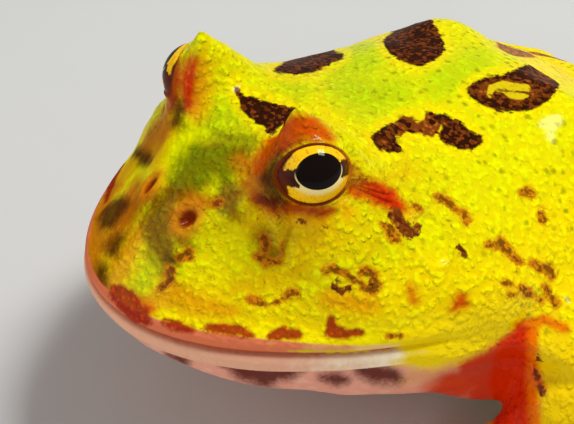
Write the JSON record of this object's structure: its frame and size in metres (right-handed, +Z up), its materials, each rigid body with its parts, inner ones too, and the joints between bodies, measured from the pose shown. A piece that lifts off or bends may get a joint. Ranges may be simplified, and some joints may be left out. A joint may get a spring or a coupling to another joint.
{
  "type": "horned frog",
  "caption": "Life-size squat horned frog in a resting pose, with a wide closed mouth, pointed upper lids, short limbs, free fingers and partly webbed toes.",
  "frame": {"origin": "on the floor, under the middle of the frog's bounding box", "axes": "+X to the frog's left, +Y towards its hind end (it faces -Y), +Z up"},
  "size_m": [0.1056, 0.1082, 0.0528],
  "materials": {
    "skin": "moist granular skin",
    "throat_skin": "moist smooth skin",
    "arm_skin": "moist granular skin",
    "eye": "wet and glossy"
  },
  "bodies": {
    "root": {"head": "skin", "lower_jaw": "throat_skin", "torso": "skin", "eye_left": "eye", "eye_right": "eye", "lid_horn_left": "skin", "lid_horn_right": "skin", "upper_arm_left": "arm_skin", "upper_arm_right": "arm_skin", "forearm_left": "arm_skin", "forearm_right": "arm_skin", "hand_left": "arm_skin", "hand_right": "arm_skin", "thigh_left": "skin", "thigh_right": "skin", "shank_left": "skin", "shank_right": "skin", "foot_left": "skin", "foot_right": "skin"}
  },
  "joints": []
}
